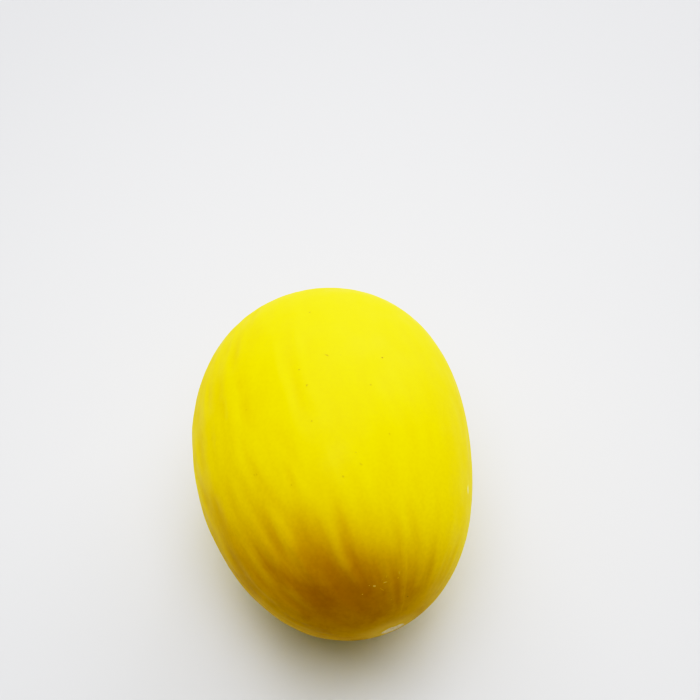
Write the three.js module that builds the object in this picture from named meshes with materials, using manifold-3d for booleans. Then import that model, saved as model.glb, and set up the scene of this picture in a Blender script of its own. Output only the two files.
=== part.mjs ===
// A canary melon lying on its side on the small flat its own weight has pressed into the rind.
// The fruit grew in one piece, so it is one closed solid.
// Millimetres, +Z up, stem end towards -Y, origin on the ground under the middle of the fruit.
import * as THREE from "three";
import { mergeVertices } from "three/addons/utils/BufferGeometryUtils.js";
import Module from "manifold-3d";

const LENGTH = 196; // stem end to blossom end
const DIAMETER = 150; // across the belly
const TAPER = 0.056; // share by which the blossom half is wider, and the stem half slimmer
const FULLNESS = 0.094; // share by which both ends are fuller than an ellipsoid's
const FLAT_DEPTH = 1.5; // how much of the belly the ground flat takes away
const SCAR_SHIFT = new THREE.Vector3(0.195, 0, -0.097); // of the radius, from the axis to the stem scar

// Broad swells and hollows that make the fruit uneven: where each one lies, and its height.
const SWELL_SPREAD = 0.6; // radians
const SWELLS = [
  { towards: new THREE.Vector3(0.67, 0.69, 0.29), height: 1.2 },
  { towards: new THREE.Vector3(1.0, -0.1, 0.04), height: -1.5 },
  { towards: new THREE.Vector3(-0.73, -0.62, -0.27), height: -0.7 },
  { towards: new THREE.Vector3(-1.0, 0.0, -0.07), height: 1.4 },
];

// Soft furrows that run out of the stem scar and fade before the middle.
const FURROWS = 13;
const FURROW_DEPTH = 0.45;
const FURROW_START = 0.32; // radians from the stem scar where they are at full depth
const FURROW_END = 1.45; // radians from the stem scar where they have faded out
const SWAY = { reach: 0.35, perTurn: 2, perRing: 3 }; // how far and how often they wander sideways

// Round corky scars: a shallow dish inside a raised rim.
const STEM_SCAR = { radius: 6.2, depth: 0.5, rim: 0.4 };
const BLOSSOM_SCAR = { radius: 8, depth: 0.3, rim: 0.25 };
const DISH_FLOOR = 0.6; // of the scar's radius
const RIM_AT = 1.1; // of the scar's radius
const RIM_WIDTH = 0.3; // of the scar's radius

const AROUND = 80; // facets round the fruit
const ALONG = 42; // rings from end to end
const RING_CROWDING = 0.7; // 0 spaces the rings evenly, 1 would crowd them all into the two ends
const SLAB = 10; // thickness of the block that cuts the ground flat

const RIND = { color: 0xf2dc14, roughness: 0.42, metalness: 0 };

// Ring angle from the stem scar, with the rings drawn together at both ends, where the scars are.
function crowded(ring) {
  return ring - (RING_CROWDING * Math.sin(2 * ring)) / 2;
}

// Direction from the fruit's middle for a ring angle and a turn round the axis, the rings of the
// stem half being slid sideways so that the first one lies on the stem scar.
function directionAt(ring, turn) {
  const direction = new THREE.Vector3(
    Math.sin(ring) * Math.cos(turn),
    -Math.cos(ring),
    Math.sin(ring) * Math.sin(turn),
  );
  const slide = ((1 + Math.cos(ring)) / 2) ** 2;
  return direction.addScaledVector(SCAR_SHIFT, slide).normalize();
}

// Smooth egg: an ellipsoid whose girth follows 1 + taper * y + fullness * y * y.
function eggPoint(direction) {
  const girth = 1 + TAPER * direction.y + FULLNESS * direction.y ** 2;
  const radius = (DIAMETER / 2) * girth;
  return new THREE.Vector3(
    radius * direction.x,
    (LENGTH / 2) * direction.y,
    radius * direction.z,
  );
}

// Height of the broad swells in one direction, each a round hill that falls off as a bell curve.
function swellHeight(direction) {
  return SWELLS.reduce((sum, { towards, height }) => {
    const apart = 1 - direction.dot(towards.clone().normalize());
    return sum + height * Math.exp((-2 * apart) / SWELL_SPREAD ** 2);
  }, 0);
}

// Height of the furrows: cosine waves round the fruit, swaying a little, between two fades.
function furrowHeight(ring, turn) {
  const fadeIn = THREE.MathUtils.smoothstep(ring, 0, FURROW_START);
  const fadeOut = 1 - THREE.MathUtils.smoothstep(ring, FURROW_START, FURROW_END);
  const sway = SWAY.reach * Math.sin(SWAY.perTurn * turn + SWAY.perRing * ring);
  return (-FURROW_DEPTH / 2) * (1 + Math.cos(FURROWS * turn + sway)) * fadeIn * fadeOut;
}

// Height of a scar at a distance from its middle.
function scarHeight(distance, { radius, depth, rim }) {
  const reach = distance / radius;
  const dish = 1 - THREE.MathUtils.smoothstep(reach, DISH_FLOOR, 1);
  const lip = Math.exp(-(((reach - RIM_AT) / RIM_WIDTH) ** 2));
  return rim * lip - depth * dish;
}

// Point of the finished skin: the egg pushed in or out along the line from its middle.
function skinPoint(ring, turn) {
  const direction = directionAt(ring, turn);
  const point = eggPoint(direction);
  const height =
    swellHeight(direction) +
    furrowHeight(ring, turn) +
    scarHeight((ring * DIAMETER) / 2, STEM_SCAR) +
    scarHeight(((Math.PI - ring) * DIAMETER) / 2, BLOSSOM_SCAR);
  return point.setLength(point.length() + height);
}

// Whole fruit as a sphere whose points are moved onto the skin.
function fruitGeometry() {
  const geometry = new THREE.SphereGeometry(1, AROUND, ALONG);
  const position = geometry.attributes.position;
  const onSphere = new THREE.Vector3();
  for (let i = 0; i < position.count; i++) {
    onSphere.fromBufferAttribute(position, i);
    const ring = crowded(Math.acos(THREE.MathUtils.clamp(-onSphere.y, -1, 1)));
    const turn = Math.atan2(onSphere.z, onSphere.x);
    const { x, y, z } = skinPoint(ring, turn);
    position.setXYZ(i, x, y, z);
  }
  return geometry;
}

// Block whose top face is the ground under the fruit.
function groundGeometry(height) {
  const geometry = new THREE.BoxGeometry(LENGTH, LENGTH, SLAB);
  return geometry.translate(0, 0, height - SLAB / 2);
}

const wasm = await Module();
wasm.setup();

function toSolid(geometry) {
  geometry.deleteAttribute("normal");
  geometry.deleteAttribute("uv");
  const merged = mergeVertices(geometry);
  return new wasm.Manifold(
    new wasm.Mesh({
      numProp: 3,
      vertProperties: new Float32Array(merged.attributes.position.array),
      triVerts: new Uint32Array(merged.index.array),
    }),
  );
}

function toGeometry(solid) {
  const { vertProperties, triVerts } = solid.getMesh();
  const geometry = new THREE.BufferGeometry();
  geometry.setAttribute("position", new THREE.BufferAttribute(vertProperties, 3));
  geometry.setIndex(new THREE.BufferAttribute(triVerts, 1));
  return geometry;
}

// Cuts the ground flat and stands the fruit on it, centred over the origin.
function melonGeometry() {
  const fruit = fruitGeometry();
  fruit.computeBoundingBox();
  const ground = groundGeometry(fruit.boundingBox.min.z + FLAT_DEPTH);
  const geometry = toGeometry(toSolid(fruit).subtract(toSolid(ground)));
  geometry.computeBoundingBox();
  const middle = geometry.boundingBox.getCenter(new THREE.Vector3());
  geometry.translate(-middle.x, -middle.y, -geometry.boundingBox.min.z);
  geometry.computeVertexNormals();
  return geometry;
}

const melon = new THREE.Mesh(melonGeometry(), new THREE.MeshStandardMaterial(RIND));
melon.name = "melon";

const object = new THREE.Group();
object.add(melon);

export default object;
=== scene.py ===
import bpy
import numpy as np
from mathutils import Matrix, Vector


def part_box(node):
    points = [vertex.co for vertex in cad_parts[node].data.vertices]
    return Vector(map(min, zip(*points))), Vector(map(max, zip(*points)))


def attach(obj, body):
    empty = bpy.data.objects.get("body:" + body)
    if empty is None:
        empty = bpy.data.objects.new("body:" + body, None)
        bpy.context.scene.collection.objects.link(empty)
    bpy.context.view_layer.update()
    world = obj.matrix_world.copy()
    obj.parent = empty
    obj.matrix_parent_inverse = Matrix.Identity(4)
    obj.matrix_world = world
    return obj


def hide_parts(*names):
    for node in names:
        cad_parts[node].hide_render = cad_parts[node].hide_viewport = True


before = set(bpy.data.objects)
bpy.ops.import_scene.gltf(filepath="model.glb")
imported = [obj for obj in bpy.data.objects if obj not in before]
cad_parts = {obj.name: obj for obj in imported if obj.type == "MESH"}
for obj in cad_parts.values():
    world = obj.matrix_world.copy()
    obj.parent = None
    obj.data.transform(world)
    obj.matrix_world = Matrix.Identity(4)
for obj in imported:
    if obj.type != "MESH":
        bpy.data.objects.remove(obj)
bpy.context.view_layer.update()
cadLow, cadHigh = (np.array(corner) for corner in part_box("melon"))
cadSize = cadHigh - cadLow
millimetre = 0.001
print("frame loaded, the melon is", (cadSize / millimetre).round(1), "mm")


# The egg is an ellipsoid as long and wide as the frame's box; its girth follows
# 1 + taper * y + fullness * y * y, with y from -1 at the stem end to 1 at the blossom end.
egg = {
    "taper": 0.056,
    "fullness": 0.094,
    "scarShift": (0.195, 0.0, -0.097),  # of the radius, from the long axis to the stem scar
    "swellSpread": 0.6,  # radians
    "swells": [  # direction from the middle, and height in mm
        ((0.67, 0.69, 0.29), 1.2),
        ((1.00, -0.10, 0.04), -1.5),
        ((-0.73, -0.62, -0.27), -0.7),
        ((-1.00, 0.00, -0.07), 1.4),
    ],
    "flatDepth": 1.5,  # mm of belly that the ground flat takes away
    "flatEdge": 0.12,  # mm over which the flat rounds into the belly
}


def eggDirection(ring, turn):
    # Unit sphere point for an angle from the stem and a turn round the axis, plus the shift
    # towards the stem scar times ((1 + cos ring) / 2) squared, made a unit vector again.
    direction = np.stack(
        [np.sin(ring) * np.cos(turn), -np.cos(ring), np.sin(ring) * np.sin(turn)], axis=-1)
    slide = ((1 + np.cos(ring)) / 2) ** 2
    direction = direction + slide[..., None] * np.array(egg["scarShift"])
    return direction / np.linalg.norm(direction, axis=-1, keepdims=True)


def eggPoint(direction):
    # Direction times half the width (or half the length along Y) times the girth, which
    # widens the blossom half, slims the stem half and fills out both ends.
    along = direction[..., 1:2]
    girth = 1 + egg["taper"] * along + egg["fullness"] * along ** 2
    half = np.array([cadSize[0] / 2, cadSize[1] / 2, cadSize[0] / 2])
    scale = np.concatenate([girth, np.ones_like(girth), girth], axis=-1)
    return direction * half * scale


def swellHeight(direction):
    # Sum of bell curves, exp(-2 (1 - cosine of the angle apart) / spread squared), in mm.
    total = np.zeros(direction.shape[:-1])
    for towards, height in egg["swells"]:
        towards = np.array(towards) / np.linalg.norm(towards)
        total += height * np.exp(-2 * (1 - direction @ towards) / egg["swellSpread"] ** 2)
    return total


def smoothStep(value, low, high):
    # 3 t^2 - 2 t^3, with t going from 0 to 1 between low and high.
    t = np.clip((value - low) / (high - low), 0, 1)
    return t * t * (3 - 2 * t)


def waveSum(u, v, seed, count, across, along):
    # Sum of cosine waves with random whole numbers of waves in u and random ones in v,
    # each of a random phase, divided by the root of half their number: about -2 to 2.
    weakest = 0.4  # of the strongest wave there can be
    dice = np.random.default_rng(seed)
    total = np.zeros(np.broadcast(u, v).shape)
    for _ in range(count):
        wavesU = dice.integers(across[0], across[1] + 1)
        wavesV = dice.uniform(-along, along)
        strength = dice.uniform(weakest, 1)
        total += strength * np.cos(wavesU * u + wavesV * v + dice.uniform(0, 2 * np.pi))
    return total / np.sqrt(count / 2)


# The folds of the rind run out of the stem scar. Each has its turn round the fruit at the middle
# ring, its half width in radians, its height in mm (furrows are negative), the ring angles it
# starts and ends at, and how far it turns sideways for one radian of ring. Dents are short ones.
folds = {
    "near": [
        (0.40, 0.055, 0.12, 0.40, 1.20, 0.00), (0.62, 0.060, -0.10, 0.35, 0.70, 0.00),
        (0.72, 0.060, 0.12, 0.40, 0.95, 0.00), (0.95, 0.075, -0.12, 0.40, 0.70, 0.00),
        (1.07, 0.050, 0.14, 0.40, 0.85, -0.05), (1.18, 0.065, -0.17, 0.42, 0.80, 0.00),
        (1.31, 0.034, 0.34, 0.22, 1.05, -0.10), (1.44, 0.055, -0.34, 0.26, 0.66, -0.04),
        (1.55, 0.035, 0.18, 0.26, 1.35, -0.03), (1.69, 0.070, 0.10, 0.60, 1.10, 0.00),
        (1.86, 0.045, -0.38, 0.36, 0.95, 0.04), (1.93, 0.045, 0.34, 0.52, 1.02, 0.00),
        (2.09, 0.078, -0.46, 0.36, 1.10, 0.09), (2.26, 0.055, 0.34, 0.48, 1.18, -0.02),
        (2.37, 0.060, -0.34, 0.42, 0.78, 0.00), (2.33, 0.042, -0.27, 0.85, 1.45, -0.03),
        (2.43, 0.050, 0.30, 0.80, 1.25, 0.02), (2.37, 0.055, 0.40, 1.20, 2.05, 0.00),
        (2.28, 0.038, -0.24, 1.40, 1.60, 0.05), (2.50, 0.055, -0.34, 0.25, 0.60, 0.00),
        (2.66, 0.055, -0.18, 0.50, 0.92, 0.02), (2.82, 0.060, 0.24, 0.55, 1.12, 0.00),
        (2.62, 0.045, 0.24, 1.00, 1.50, 0.00), (2.93, 0.060, -0.16, 0.60, 1.12, 0.02),
        (3.01, 0.050, 0.14, 0.70, 1.30, 0.05), (1.76, 0.055, 0.22, 1.30, 2.20, 0.00),
        (1.85, 0.040, -0.24, 1.45, 2.15, 0.00), (1.95, 0.045, 0.30, 1.45, 2.10, 0.00),
        (2.34, 0.035, -0.28, 1.95, 2.40, 0.00), (2.48, 0.035, -0.22, 1.60, 2.05, 0.00),
        (2.65, 0.045, 0.34, 1.45, 2.00, 0.00), (2.21, 0.035, -0.26, 2.05, 2.50, 0.00),
        (2.55, 0.045, 0.30, 1.90, 2.30, 0.00), (2.77, 0.035, 0.18, 0.90, 1.20, 0.00),
    ],
    "dents": [
        (1.80, 0.032, -0.28, 0.85, 1.02, 0.00), (1.80, 0.035, -0.28, 1.13, 1.30, 0.00),
        (2.05, 0.030, -0.36, 1.14, 1.34, 0.00), (2.09, 0.035, -0.20, 0.94, 1.08, 0.00),
        (2.29, 0.030, -0.34, 1.26, 1.42, 0.00), (2.25, 0.040, -0.34, 1.60, 1.74, 0.00),
        (2.27, 0.030, -0.30, 1.76, 1.88, 0.00), (2.41, 0.028, -0.30, 1.66, 1.80, 0.00),
        (2.45, 0.030, -0.24, 1.80, 1.96, 0.00), (2.59, 0.035, -0.42, 1.76, 2.00, 0.00),
        (2.31, 0.032, -0.32, 1.95, 2.22, 0.00), (2.41, 0.028, -0.26, 2.05, 2.20, 0.00),
        (2.76, 0.038, -0.36, 1.22, 1.40, 0.00), (2.90, 0.038, -0.36, 1.22, 1.42, 0.00),
        (2.69, 0.035, -0.24, 1.58, 1.70, 0.00), (2.76, 0.035, -0.30, 1.76, 1.92, 0.00),
        (1.72, 0.035, -0.18, 1.84, 2.05, 0.00), (2.09, 0.060, -0.16, 1.58, 1.76, 0.00),
    ],
    "middleRing": 0.8,
    "drift": 0.015,  # radians that a fold wanders sideways
    "driftWaves": 4,  # radians of that wave for one of ring
    "uneven": 0.30,  # share by which its height comes and goes
    "unevenWaves": 5.3,
    "phaseStep": 2.4,  # radians between a fold's wave and the next one's
    "unevenPhase": 1.7,  # how many times that for the wave of its height
    "farSeed": 11,
    "farTurns": (-3.22, 0.28),  # the rest of the way round
    "farFade": 0.95,  # radians from either end of it over which the folds come to their full height
    "farLeast": 0.2,  # share of their height that they start with
    "farRows": [  # count, lowest and highest height in mm, earliest and latest start and end
        (32, (0.10, 0.30), (0.28, 0.60), (0.80, 1.60)),
        (26, (0.06, 0.15), (0.95, 1.50), (1.80, 2.45)),
    ],
    "farStray": 0.3,  # of the spacing
    "farHalfWidth": (0.03, 0.065),
    "farLean": 0.08,
    "softest": 0.22,  # radians of ring over which a long fold fades in or out
    "softShare": 0.45,  # of its length over which a short one does
    "fadeIn": (-0.4, 1.2),  # of that stretch, from the fold's start
    "fadeOut": (-1.0, 0.6),  # and from its end
    "rippleHeight": 0.17,  # mm, small uneven ripples between the folds
    "rippleWaves": (5, 60, (14, 46), 20.0),  # seed, how many, waves round and most waves along
    "rippleStart": (0.3, 0.9),  # ring angles over which they come in
    "rippleEnd": (1.4, 2.6),  # and over which they sink by the next share
    "rippleSink": 0.6,
    "roughSide": (0.10, 0.70),  # of the way to the -X side, where the ripples are full
    "roughTop": (-0.45, 0.10),  # and of the way up
    "smoothShare": 0.40,  # how much of them is left on the other side
    "puckerHeight": 0.10,  # mm, round the blossom scar
    "puckerWaves": (8, 12, (9, 24), 3.0),
    "puckerStart": (2.55, 2.95),
    "puckerEnd": (0.12, 0.06),  # radians from the blossom end
}


def farFolds():
    # Folds round the side away from the near ones, spaced evenly and then moved by a random
    # share of the spacing, ridge and furrow by turns, and lower towards the near ones.
    dice = np.random.default_rng(folds["farSeed"])
    first, last = folds["farTurns"]
    made = []
    for count, heights, starts, ends in folds["farRows"]:
        spacing = (last - first) / count
        for index in range(count):
            stray = dice.uniform(-folds["farStray"], folds["farStray"])
            turn = first + spacing * (index + 0.5 + stray)
            sign = 1 if index % 2 else -1
            full = smoothStep(min(turn - first, last - turn), 0, folds["farFade"])
            sign *= folds["farLeast"] + (1 - folds["farLeast"]) * full
            made.append((turn, dice.uniform(*folds["farHalfWidth"]), sign * dice.uniform(*heights),
                         dice.uniform(*starts), dice.uniform(*ends),
                         dice.uniform(-folds["farLean"], folds["farLean"])))
    return made


def foldHeight(ring, turn):
    # Sum over the folds of height * swell * exp(-(turns apart / half width)^2) between a fade in
    # and a fade out. A fold's middle leans with the ring and wanders on a slow wave, and its
    # swell is 1 plus another slow wave; the waves of each fold have their own phase. Ripples
    # and, at the blossom end, puckers are sums of waves.
    total = np.zeros(ring.shape)
    beyond = ring - folds["middleRing"]
    for index, fold in enumerate(folds["near"] + folds["dents"] + farFolds()):
        foldTurn, halfWidth, height, start, end, lean = fold
        phase = folds["phaseStep"] * index
        drift = folds["drift"] * np.sin(folds["driftWaves"] * beyond + phase)
        middle = foldTurn + lean * beyond + drift
        apart = (turn - middle + np.pi) % (2 * np.pi) - np.pi
        soft = min(folds["softest"], folds["softShare"] * (end - start))
        fade = smoothStep(ring, *(start + share * soft for share in folds["fadeIn"]))
        fade = fade * (1 - smoothStep(ring, *(end + share * soft for share in folds["fadeOut"])))
        swell = folds["unevenWaves"] * ring + folds["unevenPhase"] * phase
        swell = 1 + folds["uneven"] * np.sin(swell)
        total += height * swell * np.exp(-(apart / halfWidth) ** 2) * fade
    rough = smoothStep(-np.cos(turn), *folds["roughSide"])
    rough = rough * smoothStep(np.sin(turn), *folds["roughTop"])
    ripples = waveSum(turn, ring, *folds["rippleWaves"])
    ripples = ripples * (folds["smoothShare"] + (1 - folds["smoothShare"]) * rough)
    reach = smoothStep(ring, *folds["rippleStart"])
    reach = reach * (1 - folds["rippleSink"] * smoothStep(ring, *folds["rippleEnd"]))
    puckers = waveSum(turn, ring, *folds["puckerWaves"]) * smoothStep(ring, *folds["puckerStart"])
    puckers = puckers * (1 - smoothStep(ring, *(np.pi - edge for edge in folds["puckerEnd"])))
    return total + folds["rippleHeight"] * ripples * reach + folds["puckerHeight"] * puckers


# Both ends carry a round corky scar: sizes in mm, places inside a scar as a share of its radius.
scarShape = {  # what the two have in common
    "outlineWaves": (5, (2, 6), 0),  # how many, waves round and most waves along
    "dishWall": (0.72, 1.0),
    "rimAt": 1.12,
    "rimWidth": 0.22,
    "crustWaves": (26, (-14, 14), 14.0),
    "spokeSwing": (0.05, 0.2),  # radians, least and most
    "spokeSwings": 6,  # radians of its wave for one radius
    "spokePhase": (0, 6.3),
    "spokeStart": (0.5, 2.5),  # of the scar's own crack start
    "spokeEnd": (0.50, 0.95),
    "spokeStrength": (0.15, 0.75),
    "spokeFade": (0.1, 0.15),  # at its two ends
    "ringWaves": (6, (1, 7), 0),
    "ringWander": 0.05,
    "ringSeeds": (100, 90),  # times the ring's place, for the wander and for the gaps
    "ringGaps": (5, (1, 5), 0),
    "ringStrength": (0.5, 0.6),  # in the mean, and how much the gaps change it
    "pitStray": (0.1, 0.2),  # of its distance from the middle, and of the space between two
}
scars = {
    "stem": {
        "radius": 5.6, "oval": 0.18, "uneven": 0.05, "seed": 21,
        "depth": 0.25, "rim": 0.25, "crust": 0.06,
        "crackTurns": (0.2, 0.9, 1.5, 2.4, 3.0, 3.9, 4.7, 5.4), "crackRings": (0.90,),
        "crackStart": 0.12, "crackWidth": 0.18, "crackDepth": 0.12, "crackShade": 0.90,
        "spokeShare": 0.42,  # how strong the straight cracks are beside the rings
        "pits": 9, "pitRing": 0.56, "pitSize": 0.085, "pitShare": 0.30,
        # The hollow is darkened by the last number here, and the pits by pitShare of that: painted
        # shade in those recesses.
        "hollowSize": 0.20, "hollowDepth": 0.15, "hollowPaintedShade": 0.45,
    },
    "blossom": {
        "radius": 7.0, "oval": 0.05, "uneven": 0.035, "seed": 34,
        "depth": 0.25, "rim": 0.22, "crust": 0.05,
        "crackTurns": (0.2, 0.9, 1.5, 2.2, 3.1, 3.8, 4.6, 5.1, 5.8), "crackRings": (0.22, 0.90),
        "crackStart": 0.30, "crackWidth": 0.12, "crackDepth": 0.08, "crackShade": 0.50,
        "spokeShare": 1.0,
        "pits": 0, "hollowSize": 0.10, "hollowDepth": 0.0,
    },
}


def scarReach(angle, turn, scar):
    # Distance from the scar's middle over its radius, which is longer level than upright and
    # varies a little with the turn.
    waves = waveSum(turn, 0 * turn, scar["seed"], *scarShape["outlineWaves"])
    outline = 1 + scar["uneven"] * waves
    outline = outline + scar["oval"] * np.cos(2 * turn)
    return angle * cadSize[0] / 2 / millimetre / (scar["radius"] * outline)


def scarCracks(angle, turn, scar):
    # Bell curves across wavy spokes and wavy rings: up to 1 on a crack, falling to 0 beside it.
    # Each spoke has its own swing, start, end and strength, and a ring comes and goes.
    shape = scarShape
    reach = scarReach(angle, turn, scar)
    dice = np.random.default_rng(scar["seed"] + 2)
    least, most = zip(shape["spokeSwing"], shape["spokePhase"], shape["spokeEnd"],
                      shape["spokeStrength"])
    fadeIn, fadeOut = shape["spokeFade"]
    marks = np.zeros(np.shape(reach))
    for spoke in scar["crackTurns"]:
        swing, phase, end, strength = dice.uniform(least, most)
        start = scar["crackStart"] * dice.uniform(*shape["spokeStart"])
        line = spoke + swing * np.sin(shape["spokeSwings"] * reach + phase)
        across = ((turn - line + np.pi) % (2 * np.pi) - np.pi) * reach * scar["radius"]
        inside = smoothStep(reach, start, start + fadeIn)
        inside = inside * (1 - smoothStep(reach, end - fadeOut, end))
        inside = inside * strength * scar["spokeShare"]
        marks = np.maximum(marks, np.exp(-(across / scar["crackWidth"]) ** 2) * inside)
    mean, change = shape["ringStrength"]
    wanderSeed, gapSeed = shape["ringSeeds"]
    for ring in scar["crackRings"]:
        wander = waveSum(turn, 0 * turn, int(wanderSeed * ring), *shape["ringWaves"])
        across = (reach - ring * (1 + shape["ringWander"] * wander)) * scar["radius"]
        gaps = waveSum(turn, 0 * turn, int(gapSeed * ring), *shape["ringGaps"])
        strength = np.clip(mean + change * gaps, 0, 1)
        marks = np.maximum(marks, np.exp(-(across / scar["crackWidth"]) ** 2) * strength)
    return marks


def scarPits(angle, turn, scar):
    # A bell-shaped hollow in the middle, and the ends of the stem's strands: shallower ones at
    # even turns on one ring, each a little off its place.
    reach = scarReach(angle, turn, scar)
    dice = np.random.default_rng(scar["seed"] + 3)
    marks = np.exp(-(reach / scar["hollowSize"]) ** 2)
    outward, sideways = scarShape["pitStray"]
    for index in range(scar["pits"]):
        place = scar["pitRing"] * dice.uniform(1 - outward, 1 + outward)
        towards = 2 * np.pi * (index + dice.uniform(-sideways, sideways)) / scar["pits"]
        across = reach * np.cos(turn) - place * np.cos(towards)
        along = reach * np.sin(turn) - place * np.sin(towards)
        pit = np.exp(-(across ** 2 + along ** 2) / scar["pitSize"] ** 2)
        marks = np.maximum(marks, scar["pitShare"] * pit)
    return marks


def scarHeight(angle, turn, scar):
    # A raised bell-shaped rim, less a dish with a smooth wall, plus a crust of short waves
    # across the dish, less the cracks, the hollow and the pits, in mm.
    reach = scarReach(angle, turn, scar)
    dish = 1 - smoothStep(reach, *scarShape["dishWall"])
    rim = np.exp(-((reach - scarShape["rimAt"]) / scarShape["rimWidth"]) ** 2)
    flatX, flatY = reach * np.cos(turn), reach * np.sin(turn)
    crust = waveSum(flatX, flatY, scar["seed"] + 1, *scarShape["crustWaves"])
    height = scar["rim"] * rim - scar["depth"] * dish + scar["crust"] * crust * dish
    height -= scar["crackDepth"] * scarCracks(angle, turn, scar)
    return height - scar["hollowDepth"] * scarPits(angle, turn, scar)


def skinHeight(ring, turn):
    # Everything that lies on the egg, in mm: swells, folds and the two scars.
    direction = eggDirection(ring, turn)
    return (swellHeight(direction) + foldHeight(ring, turn)
            + scarHeight(ring, turn, scars["stem"])
            + scarHeight(np.pi - ring, turn, scars["blossom"]))


def skinPoint(ring, turn):
    # The egg pushed in or out along the line from its middle, then set on its flat: the height
    # above the ground becomes edge * log(1 + exp(height / edge)), which never goes below 0.
    point = eggPoint(eggDirection(ring, turn))
    length = np.linalg.norm(point, axis=-1, keepdims=True)
    point = point * (1 + skinHeight(ring, turn)[..., None] * millimetre / length)
    edge = egg["flatEdge"] * millimetre
    height = point[..., 2] + cadSize[0] / 2 - egg["flatDepth"] * millimetre
    point[..., 2] = edge * np.logaddexp(0, height / edge)
    return point


def fitToFrame(points):
    # The grid's own box stretched straight onto the frame's box, low corner to low corner and
    # high corner to high corner.
    return cadLow + (points - rindBox[0]) * cadSize / (rindBox[1] - rindBox[0])


def meshObject(name, points, faces):
    # Points and faces put into a smoothly shaded mesh, whose object sits at the origin.
    mesh = bpy.data.meshes.new(name)
    mesh.from_pydata(points.tolist(), [], faces)
    mesh.update()
    mesh.polygons.foreach_set("use_smooth", np.ones(len(mesh.polygons), bool))
    made = bpy.data.objects.new(name, mesh)
    bpy.context.scene.collection.objects.link(made)
    return made


def addFloats(mesh, name, values):
    # One number for each vertex, as a named attribute.
    layer = mesh.attributes.new(name, "FLOAT", "POINT")
    layer.data.foreach_set("value", np.ascontiguousarray(values, np.float32).ravel())


def addVectors(mesh, name, values):
    # One vector for each vertex, as a named attribute.
    layer = mesh.attributes.new(name, "FLOAT_VECTOR", "POINT")
    layer.data.foreach_set("vector", np.ascontiguousarray(values, np.float32).ravel())


rindGrid = {
    "turns": 400,
    "rings": 246,
    "stemCrowd": (7.0, 0.13),  # how much closer the rings lie at the scar, and within what angle
    "blossomCrowd": (4.5, 0.15),
    "densitySteps": 4001,
}


def ringAngles():
    # The inverse of a summed density, 1 + bell curve at the stem + bell curve at the blossom,
    # read at even steps without the two poles: rings lie closest where the density is highest.
    angle = np.linspace(0, np.pi, rindGrid["densitySteps"])
    density = np.ones_like(angle)
    crowds = (rindGrid["stemCrowd"], angle), (rindGrid["blossomCrowd"], np.pi - angle)
    for (crowd, spread), distance in crowds:
        density += crowd * np.exp(-(distance / spread) ** 2)
    summed = np.concatenate([[0], np.cumsum((density[1:] + density[:-1]) / 2)])
    steps = np.linspace(0, summed[-1], rindGrid["rings"] + 2)
    return np.interp(steps, summed, angle)[1:-1]


def gridFaces(rings, turns, start=0):
    # Quads between neighbouring rings, the last turn of each joined back to its first.
    row = np.arange(rings - 1)[:, None] * turns
    column = np.arange(turns)[None]
    beside = (column + 1) % turns
    near, far = row, row + turns
    quads = np.stack([near + column, near + beside, far + beside, far + column], axis=-1)
    return (quads.reshape(-1, 4) + start).tolist()


def fanFaces(pole, ringStart, turns, inward):
    # Triangles from one pole vertex to a ring.
    column = np.arange(turns)
    beside = (column + 1) % turns
    a, b = (beside, column) if inward else (column, beside)
    return np.stack([np.full(turns, pole), ringStart + a, ringStart + b], axis=-1).tolist()


def rindCoordinates():
    # Ring and turn of every vertex of the grid, and of the two poles after it.
    even = np.linspace(-np.pi, np.pi, rindGrid["turns"], endpoint=False)
    ring, turn = np.meshgrid(ringAngles(), even, indexing="ij")
    return np.concatenate([ring.ravel(), [0, np.pi]]), np.concatenate([turn.ravel(), [0, 0]])


def buildRind():
    # The grid closed by a fan at each pole, with what its material reads at every vertex.
    turns, rings = rindGrid["turns"], rindGrid["rings"]
    ring, turn = rindCoordinates()
    points = fitToFrame(skinPoint(ring, turn))
    last = rings * turns
    faces = gridFaces(rings, turns)
    faces += fanFaces(last, 0, turns, True)
    faces += fanFaces(last + 1, (rings - 1) * turns, turns, False)
    rind = meshObject("melonRind", points, faces)
    mesh = rind.data
    addVectors(mesh, "growth", np.stack([np.cos(turn), np.sin(turn), ring], axis=-1))
    addFloats(mesh, "fold", foldHeight(ring, turn))
    stem, blossom = scars["stem"], scars["blossom"]
    addFloats(mesh, "stemReach", scarReach(ring, turn, stem))
    addFloats(mesh, "blossomReach", scarReach(np.pi - ring, turn, blossom))
    cracks = np.maximum(stem["crackShade"] * scarCracks(ring, turn, stem),
                        blossom["crackShade"] * scarCracks(np.pi - ring, turn, blossom))
    # Besides the cracks, the attribute carries the darkened hollow and pits: painted shade.
    addFloats(mesh, "crackAndShade", np.maximum(cracks, stem["hollowPaintedShade"] * scarPits(ring, turn, stem)))
    return rind


rawPoints = skinPoint(*rindCoordinates())
rindBox = rawPoints.min(axis=0), rawPoints.max(axis=0)
melonRind = buildRind()
print("rind made,", len(melonRind.data.polygons), "faces")

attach(melonRind, "root")
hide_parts("melon")


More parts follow.
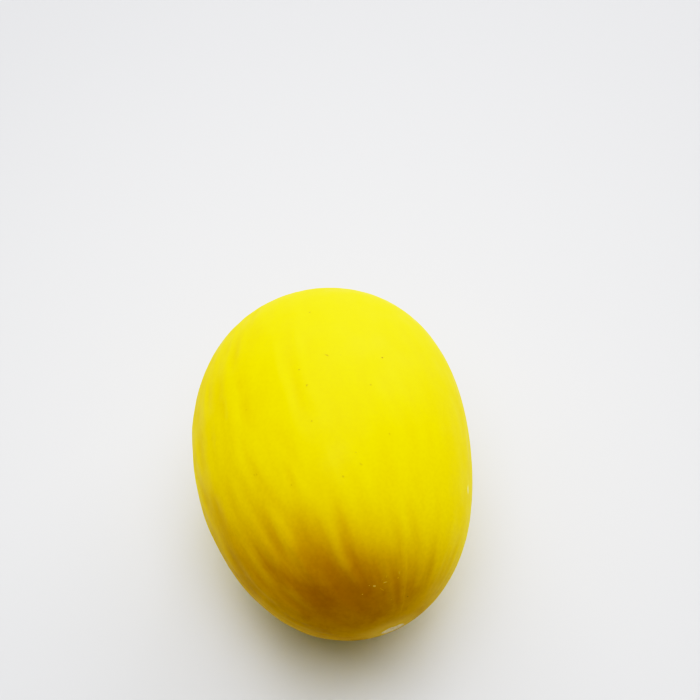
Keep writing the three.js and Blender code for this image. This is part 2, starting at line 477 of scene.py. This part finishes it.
# Marks that lie on the rind. Each has its ring and turn, its length and width in mm, the angle
# of its length from the round-the-fruit direction, its bend, and how strong it is.
marks = {
    "specks": [
        (1.834, 1.499, 1.6, 1.4, 0.0, 0.0, 0.28), (1.843, 1.593, 3.8, 1.8, 0.6, 0.0, 0.60),
        (1.784, 1.800, 2.2, 1.8, 0.0, 0.2, 0.50), (1.681, 1.773, 2.6, 1.9, 2.6, 0.2, 0.54),
        (1.483, 1.800, 1.8, 1.7, 0.0, 0.0, 0.44), (1.178, 1.701, 2.1, 2.0, 0.0, 0.0, 0.38),
        (1.258, 2.051, 1.6, 1.3, 0.0, 0.0, 0.32), (1.209, 2.060, 1.9, 1.7, 0.0, 0.0, 0.26),
        (1.326, 2.284, 4.2, 3.4, 0.4, 0.1, 0.20), (1.811, 1.207, 2.0, 1.8, 0.0, 0.0, 0.90),
        (1.640, 1.351, 2.6, 1.9, 2.5, 0.0, 0.44), (1.366, 1.302, 2.6, 1.8, 0.8, 0.0, 0.30),
        (1.222, 1.557, 3.6, 1.8, 0.7, 0.1, 0.28), (1.285, 1.571, 1.4, 1.3, 0.0, 0.0, 0.32),
        (0.391, 1.252, 1.4, 1.3, 0.0, 0.0, 0.65), (1.663, 2.231, 1.6, 1.3, 0.0, 0.0, 0.28),
        (2.210, 1.640, 2.0, 1.6, 0.0, 0.0, 0.75),
    ],
    "freckles": [
        (0.557, 1.746, 2.0, 1.9, 0.0, 0.0, 0.37), (0.557, 1.607, 2.8, 1.2, 3.1, 0.2, 0.27),
        (0.582, 1.632, 2.2, 0.6, 2.4, 0.2, 0.10), (0.593, 1.575, 2.4, 0.7, 1.9, 0.2, 0.16),
        (0.514, 1.670, 4.6, 0.6, 1.0, 0.2, 0.15), (0.593, 1.411, 3.4, 1.6, 1.5, 0.1, 0.14),
        (0.571, 1.800, 0.9, 0.8, 0.0, 0.0, 0.30), (0.535, 1.921, 1.0, 0.9, 0.0, 0.0, 0.36),
        (0.409, 1.571, 1.0, 0.8, 0.0, 0.0, 0.20), (0.557, 1.432, 0.9, 0.8, 0.0, 0.0, 0.28),
        (1.155, 0.404, 6.6, 3.4, 1.5, 0.1, 1.00),
    ],
    "farSeed": 4,
    "farSpecks": (46, (0.3, 2.9), (0.8, 2.0)),  # how many, their ring angles and lengths
    "farFreckles": (14, (0.3, 1.3), (0.7, 3.0)),
    "farTurns": (3.15, 6.55),  # the side away from the placed marks
    "farWidth": (0.6, 0.95),  # of the length
    "farBend": (-0.2, 0.2),
    "farStrength": (0.25, 0.6),
    "clearHeight": 0.006,  # metres, no mark lies closer to the ground
    "speckLift": 0.05,  # mm at full strength
    "freckleLift": 0.16,
    "sink": 0.03,  # mm, at the edge
    "bottom": 6,  # how many times deeper the closing point lies
    "lobes": (0.10, 0.08),  # how uneven the outline is, on two waves and on three
    "lobePhase": 7.3,  # radians between one mark's waves and the next one's
    "edgeRings": 7,
    "edgeTurns": 24,
}


def scatterMarks(seed, count, rings, lengths):
    # Marks at random over part of the skin, spread so that each has the same area to itself:
    # the cosine of the ring is even, and so is the turn. Those too near the ground are dropped.
    dice = np.random.default_rng(seed)
    ring = np.arccos(dice.uniform(np.cos(rings[1]), np.cos(rings[0]), count))
    turn = dice.uniform(*marks["farTurns"], count)
    length = dice.uniform(*lengths, count)
    made = np.stack([ring, turn, length, length * dice.uniform(*marks["farWidth"], count),
                     dice.uniform(0, np.pi, count), dice.uniform(*marks["farBend"], count),
                     dice.uniform(*marks["farStrength"], count)], axis=-1)
    clear = fitToFrame(skinPoint(ring, turn))[:, 2] > marks["clearHeight"]
    return made[clear].tolist()


def buildMarks(name, spots, lift):
    # Each mark is a disc (share r of its radius, angle a), stretched to its length and width,
    # bent sideways by bend * (r cos a)^2 of half its length, laid on the skin and lifted by
    # lift * strength * (1 - r^2) less sink * r^4 mm. One point below its middle closes it. The
    # length of a step of ring or turn on the skin is taken from two points close together, and
    # the way out of the skin from the cross product of such steps.
    spots = np.array(spots)
    rings, turns = marks["edgeRings"], marks["edgeTurns"]
    share = (np.arange(1, rings + 1) / rings)[None, :, None]
    angle = np.linspace(0, 2 * np.pi, turns, endpoint=False)[None, None]
    ring0, turn0, length, width, lie, bend, strength = spots.T[:, :, None, None]
    phase = marks["lobePhase"] * np.arange(len(spots))[:, None, None]
    two, three = marks["lobes"]
    outline = 1 + two * np.sin(2 * angle + phase) + three * np.sin(3 * angle + 2 * phase)
    along = share * outline * np.cos(angle) * length / 2
    across = share * outline * np.sin(angle) * width / 2
    across = across + bend * (2 * along / length) ** 2 * length / 2
    east = along * np.cos(lie) - across * np.sin(lie)
    north = along * np.sin(lie) + across * np.cos(lie)
    step = 1e-3  # radians
    middle = skinPoint(ring0, turn0)
    perRing = np.linalg.norm(skinPoint(ring0 + step, turn0) - middle, axis=-1) / step / millimetre
    perTurn = np.linalg.norm(skinPoint(ring0, turn0 + step) - middle, axis=-1) / step / millimetre
    ring = np.concatenate([ring0 + north / perRing, ring0 + 0 * angle, ring0 + 0 * angle], axis=1)
    turn = np.concatenate([turn0 + east / perTurn, turn0 + 0 * angle, turn0 + 0 * angle], axis=1)
    edge = np.concatenate([share + 0 * ring0, 0 * ring0, 1 + 0 * ring0], axis=1) + 0 * angle
    point = skinPoint(ring, turn)
    normal = np.cross(skinPoint(ring, turn + step) - point, skinPoint(ring + step, turn) - point)
    normal *= -1 / np.linalg.norm(normal, axis=-1, keepdims=True)
    height = lift * strength * (1 - edge ** 2) - marks["sink"] * edge ** 4
    height[:, -1] = -marks["bottom"] * marks["sink"]
    point = fitToFrame(point + normal * height[..., None] * millimetre)
    # Of the two middle rows only the first vertex is kept: the top pole and the bottom pole.
    keep = np.ones(edge.shape, bool)
    keep[:, rings:, 1:] = False
    perSpot = rings * turns + 2
    faces = []
    for index in range(len(spots)):
        start = index * perSpot
        faces += gridFaces(rings, turns, start)
        faces += fanFaces(start + perSpot - 2, start, turns, True)
        faces += fanFaces(start + perSpot - 1, start + (rings - 1) * turns, turns, False)
    made = meshObject(name, point[keep], faces)
    mesh = made.data
    ring, turn = ring[keep], turn[keep]
    addVectors(mesh, "growth", np.stack([np.cos(turn), np.sin(turn), ring], axis=-1))
    addFloats(mesh, "fold", foldHeight(ring, turn))
    addFloats(mesh, "edge", edge[keep])
    addFloats(mesh, "strength", (strength + 0 * edge)[keep])
    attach(made, "root")
    return made


farSpecks = scatterMarks(marks["farSeed"], *marks["farSpecks"])
farFreckles = scatterMarks(marks["farSeed"] + 1, *marks["farFreckles"])
rindSpecks = buildMarks("rindSpecks", marks["specks"] + farSpecks, marks["speckLift"])
corkFreckles = buildMarks("corkFreckles", marks["freckles"] + farFreckles, marks["freckleLift"])
print("marks made,", len(rindSpecks.data.polygons) + len(corkFreckles.data.polygons), "faces")


def addNode(tree, kind, inputs=None, **settings):
    # A node with its settings, and its inputs set from values or linked from sockets.
    node = tree.nodes.new(kind)
    for name, value in settings.items():
        setattr(node, name, value)
    for name, value in (inputs or {}).items():
        socket = node.inputs[name]
        if isinstance(value, bpy.types.NodeSocket):
            tree.links.new(value, socket)
        else:
            socket.default_value = value
    return node


def addMath(tree, operation, first, second=0.0, third=0.0):
    # One step of arithmetic on numbers or sockets.
    inputs = {0: first, 1: second, 2: third}
    return addNode(tree, "ShaderNodeMath", inputs, operation=operation).outputs[0]


def addNoise(tree, point, scale, detail=2.0, roughness=0.5):
    # Noise from 0 to 1 with its grain about 1 / scale apart.
    inputs = {"Vector": point, "Scale": scale, "Detail": detail, "Roughness": roughness}
    return addNode(tree, "ShaderNodeTexNoise", inputs).outputs[0]


def addRange(tree, value, low, high, first=0.0, last=1.0):
    # Smooth change from first to last as the value goes from low to high.
    inputs = {"Value": value, "From Min": low, "From Max": high, "To Min": first, "To Max": last}
    return addNode(tree, "ShaderNodeMapRange", inputs, interpolation_type="SMOOTHSTEP").outputs[0]


def addMix(tree, share, first, second):
    # First colour to second colour by share.
    inputs = {0: share, 6: first, 7: second}  # the node's colours are its sockets 6 and 7
    return addNode(tree, "ShaderNodeMix", inputs, data_type="RGBA").outputs[2]


def addSpread(tree, point, across, along):
    # The growth vector stretched: fine round the fruit, long from end to end.
    inputs = {0: point, 1: (across, across, along)}
    return addNode(tree, "ShaderNodeVectorMath", inputs, operation="MULTIPLY").outputs[0]


def newGroup(name, inputs, outputs):
    # An empty node group with its sockets, and the two nodes that carry them.
    group = bpy.data.node_groups.new(name, "ShaderNodeTree")
    for direction, sockets in (("INPUT", inputs), ("OUTPUT", outputs)):
        for title, kind in sockets.items():
            group.interface.new_socket(title, in_out=direction, socket_type="NodeSocket" + kind)
    return group, group.nodes.new("NodeGroupInput"), group.nodes.new("NodeGroupOutput")


def addGroup(tree, group, inputs):
    # The group placed in a material with its own values.
    return addNode(tree, "ShaderNodeGroup", inputs, node_tree=group).outputs


rindLook = {
    "lemon": (0.89, 0.66, 0.010, 1),
    "golden": (0.535, 0.292, 0.006, 1),
    "bronze": (0.39, 0.176, 0.005, 1),
    "olive": (0.66, 0.47, 0.012, 1),
    "cream": (0.86, 0.72, 0.26, 1),  # where the fruit lay on the ground
    "stemGoldenAndShade": 0.88,  # at the stem end: partly the rind's own deeper tint, partly painted shade of the end turned from the lamps
    "goldenReach": (0.55, 1.35),  # ring angles over which it fades
    "goldenTilt": (0.36, 0.14, 1.0),  # it reaches further down the -X side
    "floorLightHeight": (0.062, 0.106),  # metres above the ground over which the golden comes to its full share; lower down it gives way to lemon as painted light from the floor
    "floorLightKeep": 0.68,  # how much of it is left below that
    "bronzeShare": 0.36,
    "bronzeReach": (0.55, 1.10),
    "cloudStretch": (70, 26, 70),  # clouds to a metre: they are longest from end to end
    "cloudRange": (0.38, 0.72),  # of the noise, from clear to full
    "shadePatchPlace": (-0.011, -0.091, 0.093),  # painted shade: a darker patch on the stem end where the light falls least, and its radii in metres
    "shadePatchRadius": (0.006, 0.046),
    "shadePatchWander": 0.03,
    "shadePatchShare": 0.60,
    "streakScale": (7, 1.0),  # streaks to a radian, round and along the fruit
    "streakShare": 0.14,  # all over
    "streakRise": 0.95,  # how much stronger the streaks are where it is golden
    "streakStart": (0.20, 0.80),  # ring angles over which they come in
    "patchScale": 24,  # to a metre, as are the other scales
    "mottleShare": 0.20,
    "furrowRange": (-0.45, 0.35),  # mm, from furrow to ridge
    # more golden in the furrows: partly their own tint, partly painted shade
    "furrowGoldenAndShade": 0.18,
    "ridgeLemonAndLight": 0.09,  # how much less golden the ridges are: partly their own tint, partly painted light
    "oliveScale": 30,
    "oliveRange": (0.50, 0.80),
    "oliveShare": 0.12,
    "groundSpot": (0.003, 0.013),  # metres above the ground
    "groundWander": 0.010,
    "creamShare": 0.8,
    "grainScale": 520,
    "grainTone": (0.97, 1.03),
    "shineScale": 70,
    "roughness": (0.46, 0.58),
    "gloss": 0.3,  # the shader's specular level
    "noiseRange": (0.25, 0.75),  # where most of a noise lies
    "poreScale": 1150,
    "poreHeight": 0.008,  # mm
    "peelScale": 330,
    "peelHeight": 0.018,
    "wrinkleScale": (40, 5),  # to a radian, round and along
    "wrinkleHeight": 0.030,
}


def rindPatternGroup():
    # Lemon to golden: golden at the stem end, partly its own deeper tint and partly painted shade,
    # and less of it low down, which is painted light from the floor; in streaks along the fruit, in
    # soft patches and in the furrows, with the ridges less golden: partly the rind's own tint,
    # partly painted shade and light. Bronze clouds near the stem and a bronze patch of painted
    # shade on the stem end, dull olive patches and a cream ground spot over that. The height is the
    # sum of pores, a soft orange peel and fine lengthwise wrinkles that die out towards both ends,
    # in mm.
    look = rindLook
    tree, given, result = newGroup(
        "rindPattern", {"Point": "Vector", "Growth": "Vector", "Fold": "Float"},
        {"Color": "Color", "Roughness": "Float", "Height": "Float"})
    point, growth, fold = (given.outputs[title] for title in ("Point", "Growth", "Fold"))
    ring = addNode(tree, "ShaderNodeVectorMath", {0: growth, 1: look["goldenTilt"]},
                   operation="DOT_PRODUCT").outputs["Value"]
    high = addNode(tree, "ShaderNodeSeparateXYZ", {0: point}).outputs["Z"]
    patches = addNoise(tree, point, look["patchScale"], 3)
    unevenness = addMath(tree, "SUBTRACT", patches, 0.5)
    fromStem = addNode(tree, "ShaderNodeSeparateXYZ", {0: growth}).outputs["Z"]
    streaks = addNoise(tree, addSpread(tree, growth, *look["streakScale"]), 1, 3)
    streaks = addMath(tree, "SUBTRACT", streaks, 0.5)
    streaks = addMath(tree, "MULTIPLY", streaks, addRange(tree, fromStem, *look["streakStart"]))
    # The golden stem end is partly the rind's own tint and partly painted shade.
    share = addRange(tree, ring, *look["goldenReach"], look["stemGoldenAndShade"], 0)
    # Painted light from the floor: the golden gives way to lemon low down, so the lower side is
    # lighter.
    floorLight = addRange(tree, high, *look["floorLightHeight"], look["floorLightKeep"], 1)
    share = addMath(tree, "MULTIPLY", share, floorLight)
    strong = addMath(tree, "MULTIPLY_ADD", share, look["streakRise"], look["streakShare"])
    share = addMath(tree, "MULTIPLY_ADD", streaks, strong, share)
    share = addMath(tree, "MULTIPLY_ADD", unevenness, look["mottleShare"], share)
    # Partly the rind's own tint, partly painted shade in the furrows and painted light on the
    # ridges.
    furrowTintAndShade = addRange(tree, fold, *look["furrowRange"], look["furrowGoldenAndShade"], -look["ridgeLemonAndLight"])
    share = addNode(tree, "ShaderNodeClamp", {0: addMath(tree, "ADD", share, furrowTintAndShade)}).outputs[0]
    colour = addMix(tree, share, look["lemon"], look["golden"])
    drawn = addNode(tree, "ShaderNodeVectorMath", {0: point, 1: look["cloudStretch"]},
                    operation="MULTIPLY").outputs[0]
    bronzeMask = addRange(tree, addNoise(tree, drawn, 1, 4, 0.6), *look["cloudRange"])
    nearStem = addRange(tree, ring, *look["bronzeReach"], look["bronzeShare"], 0)
    bronzeMask = addMath(tree, "MULTIPLY", bronzeMask, nearStem)
    # Painted shade: a patch on the stem end turns bronze where the light falls least.
    apart = addNode(tree, "ShaderNodeVectorMath", {0: point, 1: look["shadePatchPlace"]},
                    operation="DISTANCE").outputs["Value"]
    apart = addMath(tree, "MULTIPLY_ADD", unevenness, look["shadePatchWander"], apart)
    shadePatch = addRange(tree, apart, *look["shadePatchRadius"], look["shadePatchShare"], 0)
    bronzeMask = addMath(tree, "ADD", bronzeMask, shadePatch)
    colour = addMix(tree, bronzeMask, colour, look["bronze"])
    dull = addNoise(tree, point, look["oliveScale"], 5, 0.7)
    dull = addRange(tree, dull, *look["oliveRange"], 0, look["oliveShare"])
    colour = addMix(tree, dull, colour, look["olive"])
    ground = addMath(tree, "MULTIPLY_ADD", unevenness, look["groundWander"], high)
    ground = addRange(tree, ground, *look["groundSpot"], look["creamShare"], 0)
    colour = addMix(tree, ground, colour, look["cream"])
    grain = addNoise(tree, point, look["grainScale"], 3)
    grain = addRange(tree, grain, *look["noiseRange"], *look["grainTone"])
    colour = addNode(tree, "ShaderNodeHueSaturation", {"Value": grain, "Color": colour}).outputs[0]
    tree.links.new(colour, result.inputs["Color"])
    shine = addNoise(tree, point, look["shineScale"], 3)
    shine = addRange(tree, shine, *look["noiseRange"], *look["roughness"])
    tree.links.new(shine, result.inputs["Roughness"])
    pores = addNoise(tree, point, look["poreScale"], 1)
    height = addMath(tree, "MULTIPLY", pores, look["poreHeight"])
    peel = addNoise(tree, point, look["peelScale"], 3)
    height = addMath(tree, "MULTIPLY_ADD", peel, look["peelHeight"], height)
    lines = addNoise(tree, addSpread(tree, growth, *look["wrinkleScale"]), 1, 3)
    lines = addMath(tree, "MULTIPLY", lines, addMath(tree, "SINE", fromStem))
    height = addMath(tree, "MULTIPLY_ADD", lines, look["wrinkleHeight"], height)
    tree.links.new(height, result.inputs["Height"])
    return tree


corkLook = {
    "stemPale": (0.82, 0.71, 0.51, 1),
    "stemDark": (0.32, 0.20, 0.11, 1),
    "blossomPale": (0.66, 0.52, 0.30, 1),
    "blossomDark": (0.22, 0.12, 0.05, 1),
    "frecklePale": (0.95, 0.88, 0.46, 1),
    "freckleDark": (0.62, 0.48, 0.12, 1),
    "speck": (0.20, 0.12, 0.014, 1),
    "grainScale": 800,
    "grainRange": (0.42, 0.74),
    "grainShare": 0.38,
    "grainHeight": 0.09,  # mm
    "roughRange": (0.2, 0.8),
    "roughness": (0.70, 0.92),
    "cellScale": 1300,
    "seamWidth": 0.12,  # of a cell
    "seamShare": 0.14,
    "seamHeight": -0.20,  # mm at a full share
    "edgeScale": 600,  # the scars' ragged edge
    "edgeWander": 0.14,  # of the scar's radius, as are the next three
    "corkEdge": (0.97, 1.12),
    "rimEdge": (0.98, 1.06),
    "rimReach": (1.1, 3.2),
    "rim": (0.72, 0.52, 0.10, 1),  # the paler skin round a scar
    "rimShare": 0.45,
    "markScale": 1500,  # the marks' ragged edge
    "markEnd": 1.05,  # of a mark's radius
    "speckEdge": (0.3, 0.3),  # how ragged it is, and how far out the middle goes
    "freckleEdge": (0.2, 0.6),
}


def corkPatternGroup():
    # Pale cork darkened by its grain, by the seams between its cells and by its cracks, which on
    # the rind also carry the painted shade of the stem scar's hollow and pits; its height is the
    # grain less the seams, in mm, and it is dull all over.
    look = corkLook
    tree, given, result = newGroup(
        "corkPattern", {"Point": "Vector", "Pale": "Color", "Dark": "Color", "CrackAndShade": "Float"},
        {"Color": "Color", "Roughness": "Float", "Height": "Float"})
    titles = "Point", "Pale", "Dark", "CrackAndShade"
    point, pale, dark, crackAndShade = (given.outputs[title] for title in titles)
    grain = addNoise(tree, point, look["grainScale"], 5, 0.65)
    cells = addNode(tree, "ShaderNodeTexVoronoi", {"Vector": point, "Scale": look["cellScale"]},
                    feature="DISTANCE_TO_EDGE").outputs["Distance"]
    seams = addRange(tree, cells, 0.0, look["seamWidth"], look["seamShare"], 0)
    darker = addRange(tree, grain, *look["grainRange"], 0, look["grainShare"])
    share = addMath(tree, "MAXIMUM", addMath(tree, "ADD", darker, seams), crackAndShade)
    share = addNode(tree, "ShaderNodeClamp", {0: share}).outputs[0]
    tree.links.new(addMix(tree, share, pale, dark), result.inputs["Color"])
    dullness = addRange(tree, grain, *look["roughRange"], *look["roughness"])
    tree.links.new(dullness, result.inputs["Roughness"])
    height = addMath(tree, "MULTIPLY", grain, look["grainHeight"])
    height = addMath(tree, "MULTIPLY_ADD", seams, look["seamHeight"], height)
    tree.links.new(height, result.inputs["Height"])
    return tree


def markMaskGroup():
    # 1 at a mark's middle to 0 at its ragged edge, times its strength.
    inputs = ("Edge", "Strength", "Wander", "Middle")
    tree, given, result = newGroup(
        "markMask", {"Point": "Vector"} | {title: "Float" for title in inputs}, {"Mask": "Float"})
    edge, strength, wander, middle = (given.outputs[title] for title in inputs)
    grain = addNoise(tree, given.outputs["Point"], corkLook["markScale"], 2)
    ragged = addMath(tree, "MULTIPLY_ADD", grain, wander, edge)
    mask = addRange(tree, ragged, middle, corkLook["markEnd"], 1, 0)
    mask = addMath(tree, "MULTIPLY", mask, strength)
    tree.links.new(mask, result.inputs["Mask"])
    return tree


rindPattern = rindPatternGroup()
corkPattern = corkPatternGroup()
markMask = markMaskGroup()


def readAttribute(tree, name, output="Fac"):
    # A vertex attribute of the piece, by name.
    return addNode(tree, "ShaderNodeAttribute", attribute_name=name).outputs[output]


def rindMaterial(name):
    # A material that starts from the rind's own pattern, with its shader, its pattern outputs
    # and its object coordinates.
    made = bpy.data.materials.new(name)
    made.use_nodes = True
    tree = made.node_tree
    shader = tree.nodes["Principled BSDF"]
    shader.inputs["Specular IOR Level"].default_value = rindLook["gloss"]
    point = addNode(tree, "ShaderNodeTexCoord").outputs["Object"]
    growth, fold = readAttribute(tree, "growth", "Vector"), readAttribute(tree, "fold")
    pattern = addGroup(tree, rindPattern, {"Point": point, "Growth": growth, "Fold": fold})
    return made, tree, shader, point, pattern


def finishMaterial(tree, shader, colour, roughness, height):
    # Colour and roughness straight to the shader, height in mm through one bump node.
    tree.links.new(colour, shader.inputs["Base Color"])
    tree.links.new(roughness, shader.inputs["Roughness"])
    inputs = {"Height": height, "Distance": millimetre, "Strength": 1.0}
    bump = addNode(tree, "ShaderNodeBump", inputs)
    tree.links.new(bump.outputs["Normal"], shader.inputs["Normal"])


def mixFloats(tree, share, first, second):
    # First number to second number by share.
    inputs = {0: share, 2: first, 3: second}  # the node's numbers are its sockets 2 and 3
    return addNode(tree, "ShaderNodeMix", inputs).outputs[0]


def waxyRind():
    # The rind, and on it the two scars: cork inside each scar's edge and paler skin round it.
    made, tree, shader, point, pattern = rindMaterial("waxyRind")
    colour, roughness, height = pattern["Color"], pattern["Roughness"], pattern["Height"]
    look, crackAndShade = corkLook, readAttribute(tree, "crackAndShade")
    wander = addNoise(tree, point, look["edgeScale"], 3)
    for end in ("stem", "blossom"):
        reach = readAttribute(tree, end + "Reach")
        ragged = addMath(tree, "MULTIPLY_ADD", wander, look["edgeWander"], reach)
        stain = addMath(tree, "MULTIPLY", addRange(tree, ragged, *look["rimEdge"]),
                        addRange(tree, ragged, *look["rimReach"], look["rimShare"], 0))
        inside = addRange(tree, ragged, *look["corkEdge"], 1, 0)
        cork = addGroup(tree, corkPattern, {
            "Point": point, "Pale": look[end + "Pale"], "Dark": look[end + "Dark"], "CrackAndShade": crackAndShade})
        colour = addMix(tree, stain, colour, look["rim"])
        colour = addMix(tree, inside, colour, cork["Color"])
        roughness = mixFloats(tree, inside, roughness, cork["Roughness"])
        height = mixFloats(tree, inside, height, cork["Height"])
    finishMaterial(tree, shader, colour, roughness, height)
    return made


def addMark(tree, point, wander, middle):
    # The mask of a mark from its piece's own attributes.
    inputs = {"Point": point, "Wander": wander, "Middle": middle,
              "Edge": readAttribute(tree, "edge"), "Strength": readAttribute(tree, "strength")}
    return addGroup(tree, markMask, inputs)["Mask"]


def brownSpeck():
    # Rind at a speck's edge, dark brown at its middle.
    made, tree, shader, point, pattern = rindMaterial("brownSpeck")
    share = addMark(tree, point, *corkLook["speckEdge"])
    colour = addMix(tree, share, pattern["Color"], corkLook["speck"])
    finishMaterial(tree, shader, colour, pattern["Roughness"], pattern["Height"])
    return made


def paleFreckle():
    # Rind at a freckle's edge, raised cream cork at its middle.
    made, tree, shader, point, pattern = rindMaterial("paleFreckle")
    look = corkLook
    cork = addGroup(tree, corkPattern, {
        "Point": point, "Pale": look["frecklePale"], "Dark": look["freckleDark"], "CrackAndShade": 0.0})
    share = addMark(tree, point, *look["freckleEdge"])
    colour = addMix(tree, share, pattern["Color"], cork["Color"])
    roughness = mixFloats(tree, share, pattern["Roughness"], cork["Roughness"])
    finishMaterial(tree, shader, colour, roughness, cork["Height"])
    return made


melonRind.data.materials.append(waxyRind())
rindSpecks.data.materials.append(brownSpeck())
corkFreckles.data.materials.append(paleFreckle())
print("materials made")


studio = {
    "floorRadius": 2.2,
    "wallRadius": 1.0,  # of the round corner between floor and wall
    "wallHeight": 1.6,
    "innerRadii": (0.4, 1.2),  # rings of the grid inside that
    "bendSteps": 17,
    "around": 96,
    "floorColour": (0.716, 0.726, 0.738, 1),
    # The floor darkens away from the fruit: painted shade of the light falling off.
    "farFloorShade": (0.55, 0.555, 0.57, 1),
    "farFloorShadeFade": (0.12, 0.50),  # metres from the fruit over which one turns into the other
    # The wall is a dark grey sheet for the dark room round the fruit: painted shade.
    "wallShade": (0.22, 0.22, 0.22, 1),
    "wallFade": (0.35, 0.9),  # metres above the floor
    "glow": (0.55, 0.555, 0.57, 1),
    "glowFade": (0.7, 2.9),  # metres from the fruit
    "roughness": 0.55,
    "lampSize": 1.6,
    "lampDistance": 2.0,  # from the fruit's middle
    "lamps": {  # degrees round from the stem side and up, and watts
        "topLamp": (0, 89, 33),
        "frontLamp": (0, 70, 5),
        "backLamp": (180, 35, 24.5),
        "backLeftLamp": (-135, 60, 14),
        "lowBackLeftLamp": (-135, 30, 4.5),
        "lowBackRightLamp": (135, 30, 36.5),
        "rightLamp": (90, 45, 3),
    },
}


def studioBowl():
    # A flat disc, a quarter circle and an upright wall, turned round Z: x = r cos a, y = r sin a.
    inner, floorRadius, corner = studio["innerRadii"], studio["floorRadius"], studio["wallRadius"]
    bend = np.linspace(0, np.pi / 2, studio["bendSteps"])
    radius = np.concatenate([inner, floorRadius + corner * np.sin(bend), [floorRadius + corner]])
    rise = corner * (1 - np.cos(bend))
    height = np.concatenate([np.zeros(len(inner)), rise, [studio["wallHeight"]]])
    around = np.linspace(0, 2 * np.pi, studio["around"], endpoint=False)
    points = np.stack([radius[:, None] * np.cos(around), radius[:, None] * np.sin(around),
                       height[:, None] + 0 * around], axis=-1).reshape(-1, 3)
    points = np.concatenate([points, [[0, 0, 0]]])
    faces = [list(reversed(face)) for face in gridFaces(len(radius), len(around))]
    faces += fanFaces(len(points) - 1, 0, len(around), False)
    return meshObject("studioFloor", points, faces)


def paleFloor():
    # Floor to a darker far floor by the distance from the fruit, painted shade of the light falling
    # off, then to the dark wall by the height, painted shade of a dark room. The far part gives off
    # a soft light of its own, from none to all by the distance.
    made = bpy.data.materials.new("paleFloor")
    made.use_nodes = True
    tree = made.node_tree
    shader = tree.nodes["Principled BSDF"]
    point = addNode(tree, "ShaderNodeTexCoord").outputs["Object"]
    away = addNode(tree, "ShaderNodeVectorMath", {0: point}, operation="LENGTH").outputs["Value"]
    high = addNode(tree, "ShaderNodeSeparateXYZ", {0: point}).outputs["Z"]
    colour = addMix(tree, addRange(tree, away, *studio["farFloorShadeFade"]), studio["floorColour"],
                    studio["farFloorShade"])
    colour = addMix(tree, addRange(tree, high, *studio["wallFade"]), colour, studio["wallShade"])
    tree.links.new(colour, shader.inputs["Base Color"])
    glow = addMix(tree, addRange(tree, away, *studio["glowFade"]), (0, 0, 0, 1), studio["glow"])
    tree.links.new(glow, shader.inputs["Emission Color"])
    shader.inputs["Emission Strength"].default_value = 1
    shader.inputs["Roughness"].default_value = studio["roughness"]
    return made


studioFloor = studioBowl()
studioFloor.data.materials.append(paleFloor())


fruitMiddle = (cadLow + cadHigh) / 2


def placeAround(azimuth, elevation):
    # Unit vector (sin a cos e, -cos a cos e, sin e): straight out from the stem side at 0, 0.
    a, e = np.radians(azimuth), np.radians(elevation)
    return np.array([np.sin(a) * np.cos(e), -np.cos(a) * np.cos(e), np.sin(e)])


def addLamp(name, azimuth, elevation, power):
    # A square soft lamp that faces the fruit's middle.
    lamp = bpy.data.lights.new(name, "AREA")
    lamp.shape = "SQUARE"
    lamp.size = studio["lampSize"]
    lamp.energy = power
    towards = placeAround(azimuth, elevation)
    made = bpy.data.objects.new(name, lamp)
    made.location = fruitMiddle + towards * studio["lampDistance"]
    made.rotation_euler = Vector(-towards).to_track_quat("-Z", "Y").to_euler()
    bpy.context.scene.collection.objects.link(made)


for name, (azimuth, elevation, power) in studio["lamps"].items():
    addLamp(name, azimuth, elevation, power)

camera = {
    "azimuth": -8.2,  # degrees round the fruit from the stem side
    "elevation": 65,
    "distance": 1.0,
    "lens": 94.9,
    "sensor": 36,
    "farClip": 50,
    "aimRight": 0.0101,  # metres beside and above the fruit's middle
    "aimUp": 0.0606,
}


def addCamera():
    # Out from the fruit's middle by the distance, facing the aim point.
    back = placeAround(camera["azimuth"], camera["elevation"])
    right = placeAround(camera["azimuth"] + 90, 0)
    up = np.cross(back, right)
    place = fruitMiddle + back * camera["distance"]
    aim = fruitMiddle + right * camera["aimRight"] + up * camera["aimUp"]
    lens = bpy.data.cameras.new("camera")
    lens.lens = camera["lens"]
    lens.sensor_width = camera["sensor"]
    lens.clip_end = camera["farClip"]
    made = bpy.data.objects.new("camera", lens)
    made.location = place
    made.rotation_euler = Vector(aim - place).to_track_quat("-Z", "Y").to_euler()
    bpy.context.scene.collection.objects.link(made)
    bpy.context.scene.camera = made


addCamera()

tone = {
    "contrast": 1.6,
    "shoulder": 1.88,
    "blueCut": 0.065,  # blue light below this isn't shown, which keeps yellow deep in the shade
    # Light at which the curve has its points.
    "light": (0.15, 0.3, 0.45, 0.6, 0.75, 0.9, 1.05, 1.25, 1.5, 2.0),
}


def setTone():
    # Shown light = light^contrast / (1 + light^(contrast * shoulder)) ^ (1 / shoulder): deep
    # shade, and a soft shoulder below white.
    view = bpy.context.scene.view_settings
    view.view_transform = "Standard"
    view.use_curve_mapping = True
    mapping = view.curve_mapping
    mapping.clip_max_x = mapping.clip_max_y = tone["light"][-1]
    power = np.array(tone["light"]) ** tone["contrast"]
    shown = power / (1 + power ** tone["shoulder"]) ** (1 / tone["shoulder"])
    curve = mapping.curves[3]  # the one for all three colours
    curve.points[0].location = (0, 0)
    curve.points[1].location = (tone["light"][-1], shown[-1])
    for light, value in zip(tone["light"][:-1], shown[:-1]):
        curve.points.new(light, value)
    mapping.black_level = (0, 0, tone["blueCut"])
    mapping.update()


setTone()
print("studio and camera made")
